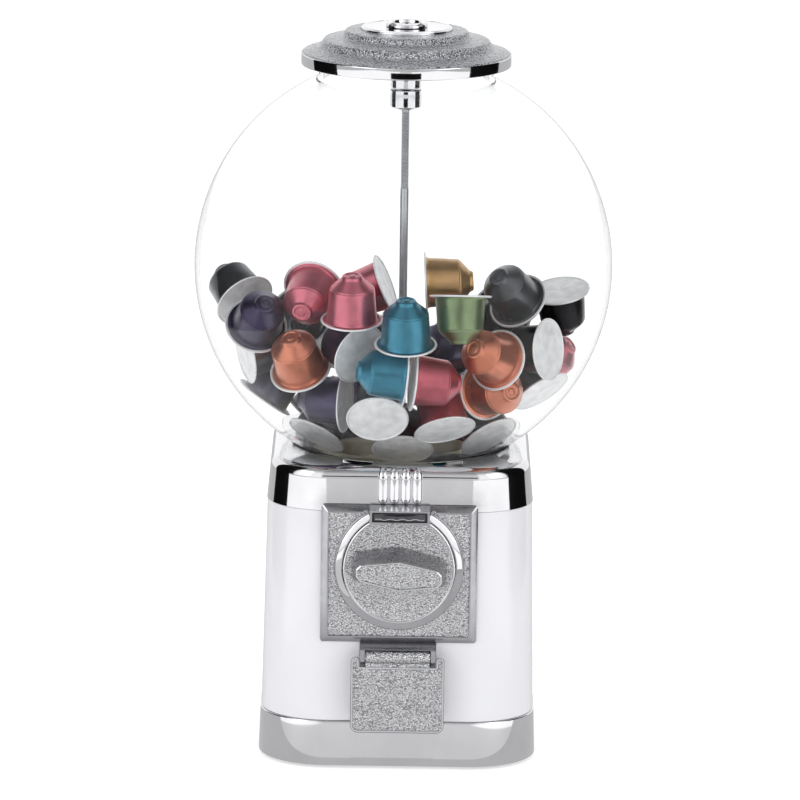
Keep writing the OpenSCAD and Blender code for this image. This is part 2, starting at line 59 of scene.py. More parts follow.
CORNER = 42.5           # each corner's centre, from the axis, on both axes
WALL = 2.5              # walls of the body and the collar
SEAM = 0.15             # half of the fine gap where the body meets its neighbours
SCREW_REACH = 62        # base screws, from the axis, on both axes
COLLAR_HALF = 79.9      # half the collar's width at its lower edge
SHOULDER_HALF = 78.2    # half its width where the shoulder starts to round
SHOULDER_R = 7
POCKET_HALF = 36        # half the width of the pocket behind the coin plate
POCKET_TOP = 162
GLOBE_Z = 292.0         # the globe's centre
GLOBE_WALL = 3
NECK_R = 62.0           # outside of the globe's neck
MOUTH_R = 52.5          # outside of its mouth
BASE_TOP = low("body_shell").z
BODY_TOP = high("body_shell").z
COLLAR_TOP = high("top_collar").z - 1.0
KNOB_Z = (low("knob_shaft").z + high("knob_shaft").z) / 2
PLATE_LOW, PLATE_HIGH = low("coin_plate"), high("coin_plate")
GLOBE_R = high("globe").x
GLOBE_TOP = high("globe_mouth").z
NECK_LOW = low("globe_neck").z
ROD_R = high("centre_rod").x
LID_R = high("lid").x
LOCK_R = high("barrel_nut").x


# ---------- materials ----------

class Surface:
    """A Principled material with procedural colour, roughness and bump."""

    def __init__(self, name, colour, **sockets):
        self.material = bpy.data.materials.new(name)
        self.material.use_nodes = True
        self.tree = self.material.node_tree
        self.shader = self.tree.nodes["Principled BSDF"]
        self.out = self.tree.nodes["Material Output"]
        self.colour = colour
        self.set("Base Color", (*colour, 1.0))
        for socket, value in sockets.items():
            self.set(socket.replace("_", " "), value)
        self.coords = self.node("ShaderNodeTexCoord").outputs["Object"]
        self.height = None

    def set(self, socket, value):
        self.shader.inputs[socket].default_value = value

    def node(self, kind, **inputs):
        made = self.tree.nodes.new(kind)
        for socket, value in inputs.items():
            made.inputs[socket].default_value = value
        return made

    def link(self, source, target):
        self.tree.links.new(source, target)

    def stretched(self, stretch):
        mapping = self.node("ShaderNodeMapping")
        mapping.inputs["Scale"].default_value = stretch
        self.link(self.coords, mapping.inputs["Vector"])
        return mapping.outputs["Vector"]

    def noise(self, size, detail=3.0, stretch=(1, 1, 1)):
        """Noise whose features are about size millimetres across."""
        made = self.node("ShaderNodeTexNoise", Scale=1 / (size * MM), Detail=detail)
        self.link(self.stretched(stretch), made.inputs["Vector"])
        return made.outputs["Fac"]

    def cells(self, size, smooth=0.6):
        """Rounded cells about size millimetres across."""
        made = self.node("ShaderNodeTexVoronoi", Scale=1 / (size * MM))
        made.feature = "SMOOTH_F1"
        made.inputs["Smoothness"].default_value = smooth
        self.link(self.coords, made.inputs["Vector"])
        return made.outputs["Distance"]

    def ranged(self, source, from_low, from_high, to_low, to_high):
        made = self.node("ShaderNodeMapRange")
        self.link(source, made.inputs["Value"])
        made.inputs["From Min"].default_value = from_low
        made.inputs["From Max"].default_value = from_high
        made.inputs["To Min"].default_value = to_low
        made.inputs["To Max"].default_value = to_high
        return made.outputs["Result"]

    def vary_colour(self, source, other, from_low=0.35, from_high=0.65):
        made = self.node("ShaderNodeMix")
        made.data_type = "RGBA"
        self.link(self.ranged(source, from_low, from_high, 0.0, 1.0), made.inputs["Factor"])
        made.inputs[6].default_value = (*self.colour, 1.0)
        made.inputs[7].default_value = (*other, 1.0)
        self.link(made.outputs[2], self.shader.inputs["Base Color"])
        return self

    def vary_roughness(self, source, lowest, highest):
        self.link(self.ranged(source, 0.3, 0.7, lowest, highest), self.shader.inputs["Roughness"])
        return self

    def bump(self, source, depth, strength=1.0):
        """Adds relief depth millimetres deep, on top of any that is there."""
        made = self.node("ShaderNodeBump", Strength=strength, Distance=depth * MM)
        self.link(source, made.inputs["Height"])
        if self.height is not None:
            self.link(self.height, made.inputs["Normal"])
        self.height = made.outputs["Normal"]
        self.link(self.height, self.shader.inputs["Normal"])
        return self


def tinted(colour, factor):
    return tuple(min(1.0, c * factor) for c in colour)


def polished_chrome():
    s = Surface("chrome", (0.72, 0.72, 0.74), Metallic=1.0)
    s.vary_colour(s.noise(25, 4), (0.68, 0.68, 0.70))
    s.vary_roughness(s.noise(14, 5), 0.035, 0.085)
    return s.bump(s.noise(9, 2), 0.012, 0.5)


def satin_chrome():
    s = Surface("satin_chrome", (0.46, 0.46, 0.48), Metallic=1.0)
    s.vary_colour(s.noise(18, 4), (0.40, 0.40, 0.42))
    s.vary_roughness(s.noise(6, 5), 0.16, 0.28)
    return s.bump(s.noise(0.8, 3), 0.015, 0.5)


def grained_chrome():
    s = Surface("grained_chrome", (0.66, 0.66, 0.67), Metallic=1.0)
    cells = s.cells(0.85)
    s.vary_colour(cells, (0.26, 0.26, 0.28), 0.25, 0.75)
    s.vary_roughness(s.noise(5, 4), 0.2, 0.32)
    s.bump(cells, 0.65, 0.75)
    return s.bump(s.noise(0.8, 3), 0.25, 0.6)


def hammered_chrome():
    s = Surface("hammered_chrome", (0.50, 0.51, 0.53), Metallic=1.0)
    cells = s.cells(1.2)
    s.vary_colour(cells, (0.22, 0.23, 0.25), 0.25, 0.75)
    s.vary_roughness(s.noise(5, 4), 0.18, 0.3)
    s.bump(cells, 0.9, 0.8)
    return s.bump(s.noise(0.9, 3), 0.2, 0.6)


def white_paint():
    s = Surface("white_paint", (0.82, 0.82, 0.85), Coat_Weight=0.6, Coat_Roughness=0.06)
    s.vary_colour(s.noise(40, 4), (0.80, 0.80, 0.84))
    s.vary_roughness(s.noise(12, 5), 0.16, 0.26)
    return s.bump(s.noise(2.2, 3), 0.02, 0.4)


def clear_globe():
    s = Surface("clear_globe", (0.985, 0.99, 0.99), IOR=1.2, Transmission_Weight=1.0)
    s.vary_roughness(s.noise(30, 5), 0.0, 0.012)
    s.bump(s.noise(60, 2), 0.06, 0.25)
    clear = s.node("ShaderNodeBsdfTransparent")
    clear.inputs["Color"].default_value = (0.96, 0.97, 0.97, 1.0)
    path = s.node("ShaderNodeLightPath")
    mix = s.node("ShaderNodeMixShader")
    s.link(path.outputs["Is Shadow Ray"], mix.inputs["Fac"])
    s.link(s.shader.outputs["BSDF"], mix.inputs[1])
    s.link(clear.outputs["BSDF"], mix.inputs[2])
    s.link(mix.outputs["Shader"], s.out.inputs["Surface"])
    return s


def zinc_steel():
    s = Surface("steel", (0.52, 0.53, 0.55), Metallic=1.0)
    s.vary_colour(s.noise(7, 5), (0.44, 0.45, 0.48))
    s.vary_roughness(s.noise(3, 5, (1, 1, 6)), 0.26, 0.42)
    return s.bump(s.noise(0.7, 3), 0.02, 0.5)


def black_rubber():
    s = Surface("black_rubber", (0.025, 0.025, 0.027))
    s.vary_colour(s.noise(5, 4), (0.045, 0.045, 0.045))
    s.vary_roughness(s.noise(4, 4), 0.5, 0.72)
    return s.bump(s.noise(0.6, 3), 0.05, 0.6)


def brass():
    s = Surface("brass", (0.72, 0.53, 0.24), Metallic=1.0)
    s.vary_colour(s.noise(8, 5), (0.55, 0.40, 0.18))
    s.vary_roughness(s.noise(4, 5), 0.25, 0.42)
    return s.bump(s.noise(0.9, 3), 0.02, 0.5)


def sintered_bronze():
    s = Surface("bronze_bushing", (0.46, 0.33, 0.18), Metallic=1.0)
    s.vary_colour(s.noise(1.2, 4), (0.30, 0.21, 0.12))
    s.vary_roughness(s.noise(2, 5), 0.4, 0.6)
    return s.bump(s.cells(0.5), 0.06, 0.6)


def moulded(name, colour, worn):
    s = Surface(name, colour, Specular_IOR_Level=0.45)
    s.vary_colour(s.noise(15, 4), worn)
    s.vary_roughness(s.noise(6, 4), 0.38, 0.55)
    return s.bump(s.noise(0.9, 3), 0.03, 0.5)


def nylon_bristle():
    s = Surface("nylon_bristle", (0.03, 0.03, 0.03))
    s.vary_colour(s.noise(1.0, 3), (0.08, 0.08, 0.08))
    s.vary_roughness(s.noise(2, 3), 0.4, 0.6)
    return s.bump(s.noise(0.4, 2), 0.06, 0.6)


def anodised(name, colour):
    """Coloured aluminium foil, drawn into a cup: faint vertical draw lines and small dents."""
    s = Surface(name, colour, Metallic=0.9, Coat_Weight=0.25, Coat_Roughness=0.2)
    s.vary_colour(s.noise(9, 4), tinted(colour, 0.72), 0.4, 0.75)
    s.vary_roughness(s.noise(4, 4), 0.27, 0.4)
    s.bump(s.noise(6, 2), 0.25, 0.35)
    return s.bump(s.noise(1.1, 3, (1, 1, 0.15)), 0.03, 0.4)


def foil():
    s = Surface("foil", (0.94, 0.94, 0.95), Metallic=0.15)
    s.vary_colour(s.noise(7, 5), (0.74, 0.75, 0.77))
    s.vary_roughness(s.noise(5, 5), 0.3, 0.48)
    s.bump(s.cells(3.5, 0.9), 0.3, 0.5)
    return s.bump(s.noise(1.4, 4), 0.08, 0.6)


def rim_lacquer():
    s = Surface("rim_lacquer", (0.86, 0.86, 0.87), Metallic=0.35)
    s.vary_colour(s.noise(3, 4), (0.76, 0.76, 0.78))
    s.vary_roughness(s.noise(3, 4), 0.25, 0.38)
    return s.bump(s.noise(0.8, 2), 0.03, 0.5)


def dark_zinc():
    s = Surface("dark_zinc", (0.14, 0.14, 0.15), Metallic=1.0)
    s.vary_colour(s.noise(3, 4), (0.09, 0.09, 0.10))
    s.vary_roughness(s.noise(3, 4), 0.22, 0.36)
    return s.bump(s.noise(0.7, 3), 0.03, 0.5)


# Near-black painted shade, for the coin slot block and the sheet behind its slit.
def painted_shade_black():
    s = Surface("painted_shade_black", (0.035, 0.035, 0.04), Metallic=0.6)
    s.vary_colour(s.noise(2, 4), (0.06, 0.06, 0.07))
    s.vary_roughness(s.noise(2, 4), 0.3, 0.5)
    return s.bump(s.noise(0.7, 3), 0.05, 0.5)


CAPSULE_COLOURS = {
    "pink": (0.58, 0.16, 0.21),
    "blue": (0.055, 0.23, 0.33),
    "purple": (0.06, 0.05, 0.095),
    "grey": (0.10, 0.105, 0.115),
    "orange": (0.58, 0.20, 0.12),
    "green": (0.20, 0.27, 0.14),
    "black": (0.012, 0.012, 0.015),
    "red": (0.44, 0.10, 0.13),
    "gold": (0.50, 0.30, 0.13),
}

SURFACES = {
    "chrome": polished_chrome(),
    "satin_chrome": satin_chrome(),
    "grained_chrome": grained_chrome(),
    "hammered_chrome": hammered_chrome(),
    "white_paint": white_paint(),
    "clear_globe": clear_globe(),
    "steel": zinc_steel(),
    "black_rubber": black_rubber(),
    "brass": brass(),
    "bronze_bushing": sintered_bronze(),
    "ivory_plastic": moulded("ivory_plastic", (0.72, 0.68, 0.55), (0.62, 0.57, 0.44)),
    "white_plastic": moulded("white_plastic", (0.80, 0.80, 0.77), (0.70, 0.70, 0.67)),
    "grey_plastic": moulded("grey_plastic", (0.20, 0.205, 0.21), (0.15, 0.155, 0.16)),
    "black_plastic": moulded("black_plastic", (0.018, 0.018, 0.019), (0.035, 0.035, 0.036)),
    "nylon_bristle": nylon_bristle(),
    "foil": foil(),
    "rim_lacquer": rim_lacquer(),
    "dark_zinc": dark_zinc(),
    "painted_shade_black": painted_shade_black(),
}
for colour_name, colour_value in CAPSULE_COLOURS.items():
    SURFACES["capsule_" + colour_name] = anodised("capsule_" + colour_name, colour_value)

for cad_node in NODES.values():
    for index, made in enumerate(cad_node.data.materials):
        cad_node.data.materials[index] = SURFACES[made.name.split(".")[0]].material


# ---------- making meshes ----------

def fillet(points, radius, steps=4, closed=True):
    """Rounds each corner of a 2D outline. A point's own radius may come third."""
    result = []
    for i, point in enumerate(points):
        here = Vector(point[:2])
        corner = point[2] if len(point) > 2 else radius
        back = Vector(points[i - 1][:2]) - here
        ahead = Vector(points[(i + 1) % len(points)][:2]) - here
        half = back.angle(ahead) / 2
        if corner == 0 or half > math.radians(88) or (not closed and i in (0, len(points) - 1)):
            result.append(tuple(here))
            continue
        reach = min(corner / math.tan(half), 0.45 * min(back.length, ahead.length))
        corner = reach * math.tan(half)
        centre = here + (back.normalized() + ahead.normalized()).normalized() * corner / math.sin(half)
        start = here + back.normalized() * reach - centre
        end = here + ahead.normalized() * reach - centre
        first = math.atan2(start.y, start.x)
        turn = (math.atan2(end.y, end.x) - first + math.pi) % (2 * math.pi) - math.pi
        for k in range(steps + 1):
            angle = first + turn * k / steps
            result.append((centre.x + corner * math.cos(angle), centre.y + corner * math.sin(angle)))
    return result


def arc(centre_x, centre_y, radius, first, last, steps):
    """Points on an arc, from first to last, in degrees."""
    turns = [math.radians(first + (last - first) * k / steps) for k in range(steps + 1)]
    return [(centre_x + radius * math.cos(t), centre_y + radius * math.sin(t)) for t in turns]


def make_object(name, mesh, surfaces, sharp=35):
    bmesh.ops.remove_doubles(mesh, verts=mesh.verts, dist=1e-7)
    bmesh.ops.dissolve_degenerate(mesh, edges=mesh.edges, dist=1e-7)
    bmesh.ops.recalc_face_normals(mesh, faces=mesh.faces)
    data = bpy.data.meshes.new(name)
    mesh.to_mesh(data)
    mesh.free()
    for surface in surfaces:
        data.materials.append(SURFACES[surface].material)
    made = bpy.data.objects.new(name, data)
    bpy.context.scene.collection.objects.link(made)
    shade(made, sharp)
    return made


def shade(made, sharp=35):
    made.data.polygons.foreach_set("use_smooth", [True] * len(made.data.polygons))
    made.data.set_sharp_from_angle(angle=math.radians(sharp))


def grid(name, rows, surfaces, paint=None, wrap=True, closed=True, caps=False, sharp=35):
    """Joins rows of points, in millimetres. paint(point) gives a face's material index."""
    mesh = bmesh.new()
    verts = [[mesh.verts.new(Vector(p) * MM) for p in row] for row in rows]
    row_count = len(rows) if wrap else len(rows) - 1
    col_count = len(rows[0]) if closed else len(rows[0]) - 1
    for k in range(row_count):
        a, b = verts[k], verts[(k + 1) % len(rows)]
        for i in range(col_count):
            j = (i + 1) % len(rows[0])
            face = mesh.faces.new((a[i], b[i], b[j], a[j]))
            if paint:
                face.material_index = paint(face.calc_center_median() / MM)
    if caps:
        for row in (verts[0], verts[-1]):
            face = mesh.faces.new(row)
            if paint:
                face.material_index = paint(face.calc_center_median() / MM)
    return make_object(name, mesh, surfaces, sharp)


def lathe(name, outline, surfaces, paint=None, segments=96, closed=True, place=None, sharp=35):
    """Turns an outline of (radius, height) about Z, then puts it in place."""
    rows = []
    for k in range(segments):
        turn = 2 * math.pi * k / segments
        row = [Vector((r * math.cos(turn), r * math.sin(turn), z)) for r, z in outline]
        rows.append([place @ p for p in row] if place else row)
    return grid(name, rows, surfaces, paint, closed=closed, sharp=sharp)


def along_x(x, y, z):
    return Matrix.Translation((x, y, z)) @ Matrix.Rotation(math.pi / 2, 4, "Y")


def along_front(x, y, z):
    """Heights run out of the front, along -Y."""
    return Matrix.Translation((x, y, z)) @ Matrix.Rotation(math.pi / 2, 4, "X")


def stations(corner_steps=20, side_steps=12):
    """Places round the cabinet: a point on the square of corner centres and the way out from it."""
    result = []
    for quarter in range(4):
        turn = Matrix.Rotation(quarter * math.pi / 2, 2)
        for k in range(corner_steps + 1):
            angle = math.pi / 2 * k / corner_steps
            result.append((turn @ Vector((CORNER, CORNER)),
                           turn @ Vector((math.cos(angle), math.sin(angle)))))
        for k in range(1, side_steps):
            side = Vector((CORNER * (1 - 2 * k / side_steps), CORNER))
            result.append((turn @ side, turn @ Vector((0, 1))))
    return result


def cabinet_sweep(name, outline, surfaces, paint=None):
    """Sweeps (distance from the corner centres, height) round the cabinet. A point of
    (distance, height, radius) lies on a circle of that radius instead."""
    rows = []
    for point, way in stations():
        row = []
        for entry in outline:
            if len(entry) == 3:
                flat = (point + way * entry[0]).normalized() * entry[2]
            else:
                flat = point + way * entry[0]
            row.append((flat.x, flat.y, entry[1]))
        rows.append(row)
    return grid(name, rows, surfaces, paint)


def box(name, lowest, highest, surfaces=("chrome",)):
    mesh = bmesh.new()
    middle = (Vector(lowest) + Vector(highest)) / 2
    size = Vector(highest) - Vector(lowest)
    place = Matrix.Translation(middle * MM) @ Matrix.Diagonal((*(size * MM), 1))
    bmesh.ops.create_cube(mesh, size=1, matrix=place)
    return make_object(name, mesh, surfaces)


def rod(name, radius, place, length, surfaces=("chrome",), segments=48):
    return lathe(name, [(0, 0), (radius, 0), (radius, length), (0, length)], surfaces,
                 segments=segments, closed=False, place=place)


def bake(made):
    """Applies a piece's modifiers."""
    graph = bpy.context.evaluated_depsgraph_get()
    data = bpy.data.meshes.new_from_object(made.evaluated_get(graph))
    made.modifiers.clear()
    made.data = data
    return made


def combine(made, operation, others):
    """A boolean of a piece with others, which are used up."""
    for other in others:
        modifier = made.modifiers.new("boolean", "BOOLEAN")
        modifier.operation = operation
        modifier.solver = "EXACT"
        modifier.object = other
    bake(made)
    for other in others:
        bpy.data.objects.remove(other)
    shade(made)
    return made


def cut(made, *others):
    return combine(made, "DIFFERENCE", others)


def fuse(made, *others):
    return combine(made, "UNION", others)


def soften(made, width, segments=3, angle=40):
    modifier = made.modifiers.new("bevel", "BEVEL")
    modifier.width = width * MM
    modifier.segments = segments
    modifier.limit_method = "ANGLE"
    modifier.angle_limit = math.radians(angle)
    modifier.harden_normals = True
    return bake(made)


def slab(name, outline, back, front, surfaces, steps=(), field=0):
    """A plate that faces -Y, from an outline of (x, z). steps are (inset, depth from the front),
    which work inwards over its face, and field is the material index inside the last."""
    mesh = bmesh.new()
    face = mesh.faces.new([mesh.verts.new(Vector((x, back, z)) * MM) for x, z in outline])
    grown = bmesh.ops.extrude_face_region(mesh, geom=[face])["geom"]
    bmesh.ops.translate(mesh, vec=Vector((0, front - back, 0)) * MM,
                        verts=[v for v in grown if isinstance(v, bmesh.types.BMVert)])
    top = next(f for f in grown if isinstance(f, bmesh.types.BMFace))
    bmesh.ops.recalc_face_normals(mesh, faces=mesh.faces)
    for inset, depth in steps:
        bmesh.ops.inset_region(mesh, faces=[top], thickness=inset * MM, use_even_offset=True)
        for vert in top.verts:
            vert.co.y = (front + depth) * MM
    top.material_index = field
    bmesh.ops.triangulate(mesh, faces=[f for f in mesh.faces if len(f.verts) > 4])
    return make_object(name, mesh, surfaces)


def piece(made, body, slot, *nodes):
    """Says which body a piece rides on, and hides the CAD nodes it stands for. Its slot is not used."""
    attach(made, body)
    if nodes:
        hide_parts(*nodes)
    return made


# ---------- cabinet ----------

def base_ring():
    r = high("base_ring").x - CORNER
    outside = [(r, 1.5, 1.0), (r - 0.9, BASE_TOP, 0.7)]
    spigot = [(r - 4.3, BASE_TOP, 0.2), (r - 4.3, BASE_TOP + 4, 0.3), (r - 6.3, BASE_TOP + 4, 0.3)]
    inside = [(r - 6.3, BASE_TOP - 4, 0.5), (r - 3.4, BASE_TOP - 7, 0.5), (r - 2.5, 1.5, 0.5)]
    outline = fillet(outside + spigot + inside, 0.5)
    made = cabinet_sweep("base_ring_casting", outline, ["chrome"])
    housing = high("chute_housing").x + 1
    cut(made, box("tool", (-housing, -90, BASE_TOP - 1.5), (housing, -72, BASE_TOP + 9)))
    tube = [(1.5, 9.1), (4, 9.1), (4, 23.1), (1.5, 23.1)]
    count = 0
    for x in (-1, 1):
        for y in (-1, 1):
            place = Matrix.Translation((SCREW_REACH * x, SCREW_REACH * y, 0))
            count += 1
            boss = lathe(f"base_boss_{count}", fillet(tube, 0.3, 2), ["chrome"], place=place, segments=32)
            piece(boss, "cabinet", "chrome", "base_ring")
    piece(made, "cabinet", "chrome", "base_ring")


def body_shell():
    foot = high("body_shell").x - CORNER
    top = foot - 2.4
    lowest, highest = BASE_TOP + SEAM, BODY_TOP - SEAM
    outline = fillet([(foot, lowest, 0.7), (top, highest, 0.6), (top - WALL, highest, 0.3),
                      (foot - WALL, lowest, 0.3)], 0.5)
    made = cabinet_sweep("body_shell_painted", outline, ["white_paint"])
    mouth = high("chute_housing").x + 0.3
    cut(made, box("tool_a", (-POCKET_HALF, -100, 86), (POCKET_HALF, -60, BODY_TOP + 8)),
        box("tool_b", (-mouth, -100, BASE_TOP - 1), (mouth, -60, 78.2)))
    piece(made, "cabinet", "white_paint", "body_shell")


def collar_side(inset=0.0):
    """The collar's side in section, from its lower edge over the shoulder, inset from its outside."""
    lower = COLLAR_HALF - CORNER - inset
    upper = SHOULDER_HALF - CORNER - inset
    shoulder = SHOULDER_R - inset
    middle = COLLAR_TOP - SHOULDER_R
    waist = lower + (upper - lower) * (POCKET_TOP - BODY_TOP) / (middle - BODY_TOP)
    return [(lower, BODY_TOP), (waist, POCKET_TOP)] + arc(upper - shoulder, middle, shoulder, 0, 90, 12)


def top_collar():
    hole = 66
    outline = collar_side()
    inner = collar_side(WALL)
    lip = [(0, 0.8), (0.2, 0.3), (0.7, 0), (2.5, 0)]
    rounded_lip = [(20, COLLAR_TOP - depth, hole + out) for depth, out in lip]
    made = cabinet_sweep("top_collar_casting", outline + rounded_lip + inner[::-1], ["chrome"])
    cut(made, box("tool", (-POCKET_HALF, -100, BODY_TOP - 1), (POCKET_HALF, -60, POCKET_TOP - 0.1)))
    piece(made, "cabinet", "chrome", "top_collar")


FLUTE_PITCH = 6.8
FLUTE_R = 3.1
FLUTE_LOW = 162.1


def collar_flutes():
    """Four round-fronted ribs that run up the collar and over its shoulder."""
    side = [(CORNER + d, z) for d, z in collar_side()]
    slope = (side[2][0] - side[0][0]) / (side[2][1] - side[0][1])
    path = []
    for k in range(9):
        lift = FLUTE_R * math.sin(k / 8 * math.pi / 2)
        z = FLUTE_LOW + (FLUTE_R - FLUTE_R * math.cos(k / 8 * math.pi / 2))
        path.append((side[0][0] + slope * (z - side[0][1]), z, 0.0, lift / FLUTE_R))
    middle = Vector((side[2][0] - SHOULDER_R, COLLAR_TOP - SHOULDER_R))
    path.append((side[2][0], middle.y, 0.0, 1.0))
    for k in range(1, 9):
        turn = math.radians(80 * k / 8)
        size = 1.0 - 0.75 * (k / 8) ** 2
        out = middle.x + SHOULDER_R * math.cos(turn)
        path.append((out, middle.y + SHOULDER_R * math.sin(turn), turn, size))
    for i in range(4):
        x = (i - 1.5) * FLUTE_PITCH
        rows = []
        for out, z, turn, size in path:
            row = []
            for k in range(17):
                angle = math.pi * k / 16
                side_way = FLUTE_R * size * math.cos(angle)
                rise = (FLUTE_R * 0.72 * math.sin(angle) - 0.5) * size
                row.append((x + side_way, -(out + rise * math.cos(turn)), z + rise * math.sin(turn)))
            rows.append(row)
        made = grid(f"collar_flute_{i + 1}", rows, ["chrome"], wrap=False, closed=True, caps=True, sharp=60)
        piece(made, "cabinet", "chrome", "top_collar")


# ---------- globe, lid and rod ----------

def globe():
    inside = GLOBE_R - GLOBE_WALL
    neck, mouth = NECK_R, MOUTH_R

    def swing(radius, reach):
        return math.degrees(math.acos(reach / radius))

    bore, bottom = mouth - GLOBE_WALL, neck - GLOBE_WALL
    outer = arc(0, GLOBE_Z, GLOBE_R, -swing(GLOBE_R, neck), swing(GLOBE_R, mouth), 96)
    inner = arc(0, GLOBE_Z, inside, swing(inside, bore), -swing(inside, bottom), 96)
    lip = fillet([outer[-1], (mouth, GLOBE_TOP), (bore, GLOBE_TOP), inner[0]], 1.3, closed=False)
    foot = fillet([inner[-1], (bottom, NECK_LOW), (neck, NECK_LOW), outer[0]], 1.0, closed=False)
    outline = outer + lip[1:-1] + inner + foot[1:-1]
    made = lathe("globe_clear", outline, ["clear_globe"], segments=192, sharp=80)
    piece(made, "cabinet", "clear_globe", "globe", "globe_neck", "globe_dome", "globe_crown",
          "globe_mouth")


def lid():
    z = low("lid").z
    top = [(LID_R - 1.8, z, 0.6), (LID_R, z, 0.6), (LID_R, z + 6.8, 0.8), (LID_R - 1.2, z + 7.9, 0.8),
           (52.5, z + 10.7, 3), (49.5, z + 15.3, 1.6), (39, z + 16.9, 3), (36.5, z + 20.9, 1.6),
           (27.6, z + 21.5, 0.3)]
    under = [(27.6, z + 20, 0.2), (LOCK_R + 0.05, z + 20, 0.2), (LOCK_R + 0.05, z + 17, 0.3), (35, z + 17, 1),
             (37, z + 13.5, 1), (47.5, z + 11.5, 1.5), (49.5, z + 7.5, 1.5), (54, z + 6.1, 1),
             (LID_R - 1.8, z + 5.5, 0.5)]

    def paint(p):
        radius = math.hypot(p.x, p.y)
        return 0 if p.z < z + 7.2 and radius > 54 else 1

    made = lathe("lid_casting", fillet(top + under, 1, 5), ["chrome", "hammered_chrome"], paint, segments=160)
    piece(made, "lid", "grained_chrome", "lid")


def lid_disc():
    lowest, highest = low("lid_disc").z, high("lid_disc").z
    radius = high("lid_disc").x
    outline = [(LOCK_R + 0.05, lowest, 0.1), (radius - 0.1, lowest, 0.2),
               (radius - 0.1, highest - 1.0, 0.6), (radius - 1.6, highest, 0.8),
               (radius - 3.0, highest, 0.3), (radius - 3.4, highest - 0.35, 0.2),
               (LOCK_R + 3.6, highest - 0.35, 0.3), (LOCK_R + 0.05, highest - 0.05, 0.1)]
    made = lathe("lid_disc_polished", fillet(outline, 0.3, 4), ["chrome"], segments=128)
    piece(made, "lid", "chrome", "lid_disc")


def lock():
    top = high("lock_body").z
    bezel = high("lock_body").x
    seat = high("lid_disc").z
    plug = high("lock_cylinder").x
    bottom = low("lock_body").z
    shell = [(3.4, bottom, 0.3), (LOCK_R - 0.1, bottom, 0.9), (LOCK_R - 0.1, bottom + 13.5, 0.3),
             (LOCK_R - 0.4, bottom + 13.9, 0.2), (LOCK_R - 0.4, seat - 0.1, 0.1), (bezel, seat + 0.02, 0.2),
             (bezel, top - 0.9, 0.8), (bezel - 1.1, top, 0.5), (8.6, top, 0.5), (8.2, top - 1.7, 0.2),
             (plug + 0.05, top - 1.7, 0.1), (plug + 0.05, bottom + 11.4, 0), (7, bottom + 11.4, 0),
             (7, bottom + 7.0, 0), (3.4, bottom + 7.0, 0)]
    made = lathe("lock_barrel", fillet(shell, 0.3, 4), ["chrome"], segments=128)
    tools = []
    for turn in (45, 135, 225, 315):
        tool = box(f"notch_{turn}", (10.4, -1.7, top - 1.5), (14, 1.7, top + 1))
        tool.data.transform(Matrix.Rotation(math.radians(turn), 4, "Z"))
        tools.append(tool)
    cut(made, *tools)
    piece(made, "lid", "chrome", "lock_body")

    low_end, high_end = low("lock_cylinder").z, high("lock_cylinder").z
    outline = fillet([(0, low_end, 0), (plug, low_end, 0.3), (plug, high_end, 0.5), (0, high_end, 0)], 0.4,
                     closed=False)
    made = lathe("lock_plug", outline, ["satin_chrome"], segments=64, closed=False)
    cut(made, box("tool_a", (-0.6, -3.5, 425), (0.6, 3.5, high_end + 2)),
        box("tool_b", (-1.3, -0.8, high_end - 1.2), (1.3, 0.8, high_end + 2)))
    piece(made, "lock", "steel", "lock_cylinder")


def barrel_nut():
    lowest, highest = low("barrel_nut").z, high("barrel_nut").z
    outline = [(ROD_R + 0.05, lowest, 0.3), (LOCK_R - 1.2, lowest, 0.5), (LOCK_R, lowest + 1.1, 0.5),
               (LOCK_R, highest - 0.5, 0.4), (LOCK_R - 0.6, highest, 0.3), (ROD_R + 0.05, highest, 0.3)]
    made = lathe("barrel_nut_turned", fillet(outline, 0.4), ["chrome"], segments=96)
    piece(made, "cabinet", "chrome", "barrel_nut")


THREAD_LOW, THREAD_HIGH, THREAD_PITCH = 338.0, 387.0, 1.6


def centre_rod():
    """A plain rod with a rolled thread below the lock."""
    lowest, highest = low("centre_rod").z, high("centre_rod").z
    rise = THREAD_PITCH / 8
    heights = [lowest, lowest + 0.5, THREAD_LOW - 1]
    heights += [THREAD_LOW + rise * k for k in range(int((THREAD_HIGH - THREAD_LOW) / rise) + 1)]
    heights += [THREAD_HIGH + 1, highest - 0.5, highest]
    rows = []
    for z in heights:
        row = []
        for k in range(24):
            turn = 2 * math.pi * k / 24
            radius = ROD_R - (0.4 if z in (lowest, highest) else 0.0)
            if THREAD_LOW <= z <= THREAD_HIGH:
                fade = min(1.0, (z - THREAD_LOW) / 2, (THREAD_HIGH - z) / 2)
                wave = (1 + math.cos(2 * math.pi * z / THREAD_PITCH - turn)) / 2
                radius -= 0.55 * fade * wave
            row.append((radius * math.cos(turn), radius * math.sin(turn), z))
        rows.append(row)
    made = grid("centre_rod_threaded", rows, ["steel"], wrap=False, caps=True, sharp=60)
    piece(made, "cabinet", "steel", "centre_rod")


# ---------- coin mechanism ----------

def rectangle(half_w, z0, z1, corner):
    return fillet([(-half_w, z0), (half_w, z0), (half_w, z1), (-half_w, z1)], corner, 4)


